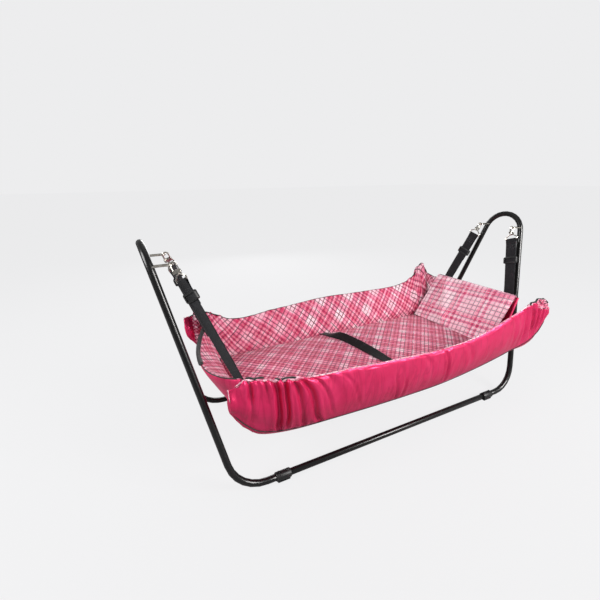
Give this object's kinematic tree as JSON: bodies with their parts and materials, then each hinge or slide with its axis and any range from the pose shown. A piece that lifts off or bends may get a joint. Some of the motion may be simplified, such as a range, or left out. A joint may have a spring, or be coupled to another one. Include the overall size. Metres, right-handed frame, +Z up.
{
  "type": "hanging baby cradle",
  "caption": "Padded fabric baby cradle with rolled sides, slung on webbing straps between two leaning tube hoops joined by floor rails.",
  "frame": {"origin": "on the floor under the middle of the frame, in the plane of the four collar soles", "axes": "+X towards the head end, +Y towards the back side, +Z up"},
  "size_m": [1.3502, 0.5054, 0.6447],
  "materials": {
    "black_enamel": "gloss black enamel on steel tube",
    "black_plastic": "moulded black plastic",
    "nickel": "bright nickel plate",
    "webbing": "woven charcoal webbing",
    "pink_satin": "hot pink satin nylon over loose filling",
    "pink_plaid": "printed cotton plaid in pinks, white and thin dark lines",
    "fibre_board": "bare fibre board"
  },
  "bodies": {
    "frame": {"rail_front": "black_enamel", "rail_back": "black_enamel", "hoop_head": "black_enamel", "hoop_foot": "black_enamel", "collar_head_front": "black_plastic", "hoop_bolt_head_front": "black_enamel", "rail_bolt_head_front": "black_enamel", "eye_head_front": "nickel", "collar_head_back": "black_plastic", "hoop_bolt_head_back": "black_enamel", "rail_bolt_head_back": "black_enamel", "eye_head_back": "nickel", "collar_foot_front": "black_plastic", "hoop_bolt_foot_front": "black_enamel", "rail_bolt_foot_front": "black_enamel", "eye_foot_front": "nickel", "collar_foot_back": "black_plastic", "hoop_bolt_foot_back": "black_enamel", "rail_bolt_foot_back": "black_enamel", "eye_foot_back": "nickel"},
    "basket": {"floor_panel": "pink_satin", "base_board": "fibre_board", "mattress": "pink_plaid", "roll_front": "pink_satin", "roll_back": "pink_satin", "foot_wall": "pink_satin", "head_wall": "pink_satin", "head_pad": "pink_plaid", "lap_belt": "webbing"},
    "hanger_head_front": {"ring_head_front": "nickel", "strap_head_front": "webbing"},
    "hook_head_front": {"hook_head_front": "nickel", "gate_pin_head_front": "nickel"},
    "gate_head_front": {"gate_head_front": "nickel"},
    "adjuster_head_front": {"adjuster_head_front": "black_plastic"},
    "hanger_head_back": {"ring_head_back": "nickel", "strap_head_back": "webbing"},
    "hook_head_back": {"hook_head_back": "nickel", "gate_pin_head_back": "nickel"},
    "gate_head_back": {"gate_head_back": "nickel"},
    "adjuster_head_back": {"adjuster_head_back": "black_plastic"},
    "hanger_foot_front": {"ring_foot_front": "nickel", "strap_foot_front": "webbing"},
    "hook_foot_front": {"hook_foot_front": "nickel", "gate_pin_foot_front": "nickel"},
    "gate_foot_front": {"gate_foot_front": "nickel"},
    "adjuster_foot_front": {"adjuster_foot_front": "black_plastic"},
    "hanger_foot_back": {"ring_foot_back": "nickel", "strap_foot_back": "webbing"},
    "hook_foot_back": {"hook_foot_back": "nickel", "gate_pin_foot_back": "nickel"},
    "gate_foot_back": {"gate_foot_back": "nickel"},
    "adjuster_foot_back": {"adjuster_foot_back": "black_plastic"}
  },
  "joints": [
    {"name": "cradle_swing", "type": "hinge", "parent": "frame", "child": "basket", "pos_m": [0, 0, 0.7883], "axis": [0.9994, 0, 0.0349], "range_deg": [-5, 5]},
    {"name": "hanger_head_front_swing", "type": "hinge", "parent": "frame", "child": "hanger_head_front", "pos_m": [0.60641, -0.068, 0.5915], "axis": [1, 0, 0], "range_deg": [-10, 10]},
    {"name": "hook_head_front_swivel", "type": "hinge", "parent": "hanger_head_front", "child": "hook_head_front", "pos_m": [0.60641, -0.068, 0.5915], "axis": [0.2364, 0.2905, 0.9272], "range_deg": [-10, 10]},
    {"name": "gate_head_front_open", "type": "hinge", "parent": "hook_head_front", "child": "gate_head_front", "pos_m": [0.59527, -0.07311, 0.57696], "axis": [-0.0718, 0.9569, -0.2815], "range_deg": [0, 25], "stiffness_Nm_per_rad": 0.02, "springref_deg": -20.05},
    {"name": "adjuster_head_front_slide", "type": "slide", "parent": "hanger_head_front", "child": "adjuster_head_front", "axis": [-0.2364, -0.2905, -0.9272], "range_m": [-0.02, 0.02]},
    {"name": "hanger_head_back_swing", "type": "hinge", "parent": "frame", "child": "hanger_head_back", "pos_m": [0.60641, 0.068, 0.5915], "axis": [1, 0, 0], "range_deg": [-10, 10]},
    {"name": "hook_head_back_swivel", "type": "hinge", "parent": "hanger_head_back", "child": "hook_head_back", "pos_m": [0.60641, 0.068, 0.5915], "axis": [0.2364, -0.2905, 0.9272], "range_deg": [-10, 10]},
    {"name": "gate_head_back_open", "type": "hinge", "parent": "hook_head_back", "child": "gate_head_back", "pos_m": [0.59527, 0.07311, 0.57696], "axis": [0.0718, 0.9569, 0.2815], "range_deg": [0, 25], "stiffness_Nm_per_rad": 0.02, "springref_deg": -20.05},
    {"name": "adjuster_head_back_slide", "type": "slide", "parent": "hanger_head_back", "child": "adjuster_head_back", "axis": [-0.2364, 0.2905, -0.9272], "range_m": [-0.02, 0.02]},
    {"name": "hanger_foot_front_swing", "type": "hinge", "parent": "frame", "child": "hanger_foot_front", "pos_m": [-0.60641, -0.068, 0.5915], "axis": [1, 0, 0], "range_deg": [-9, 9]},
    {"name": "hook_foot_front_swivel", "type": "hinge", "parent": "hanger_foot_front", "child": "hook_foot_front", "pos_m": [-0.60641, -0.068, 0.5915], "axis": [-0.3408, 0.3363, 0.8779], "range_deg": [-10, 10]},
    {"name": "gate_foot_front_open", "type": "hinge", "parent": "hook_foot_front", "child": "gate_foot_front", "pos_m": [-0.5937, -0.07392, 0.57865], "axis": [-0.1217, -0.9418, 0.3135], "range_deg": [0, 25], "stiffness_Nm_per_rad": 0.02, "springref_deg": -20.05},
    {"name": "adjuster_foot_front_slide", "type": "slide", "parent": "hanger_foot_front", "child": "adjuster_foot_front", "axis": [0.3408, -0.3363, -0.8779], "range_m": [-0.012, 0.03]},
    {"name": "hanger_foot_back_swing", "type": "hinge", "parent": "frame", "child": "hanger_foot_back", "pos_m": [-0.60641, 0.068, 0.5915], "axis": [1, 0, 0], "range_deg": [-9, 9]},
    {"name": "hook_foot_back_swivel", "type": "hinge", "parent": "hanger_foot_back", "child": "hook_foot_back", "pos_m": [-0.60641, 0.068, 0.5915], "axis": [-0.3408, -0.3363, 0.8779], "range_deg": [-10, 10]},
    {"name": "gate_foot_back_open", "type": "hinge", "parent": "hook_foot_back", "child": "gate_foot_back", "pos_m": [-0.5937, 0.07392, 0.57865], "axis": [0.1217, -0.9418, -0.3135], "range_deg": [0, 25], "stiffness_Nm_per_rad": 0.02, "springref_deg": -20.05},
    {"name": "adjuster_foot_back_slide", "type": "slide", "parent": "hanger_foot_back", "child": "adjuster_foot_back", "axis": [0.3408, 0.3363, -0.8779], "range_m": [-0.012, 0.03]}
  ],
  "couplings": [
    {"joint": "hanger_head_front_swing", "follows": "cradle_swing", "ratio": 1.928},
    {"joint": "hanger_head_back_swing", "follows": "cradle_swing", "ratio": 1.928},
    {"joint": "hanger_foot_front_swing", "follows": "cradle_swing", "ratio": 1.657},
    {"joint": "hanger_foot_back_swing", "follows": "cradle_swing", "ratio": 1.657}
  ]
}
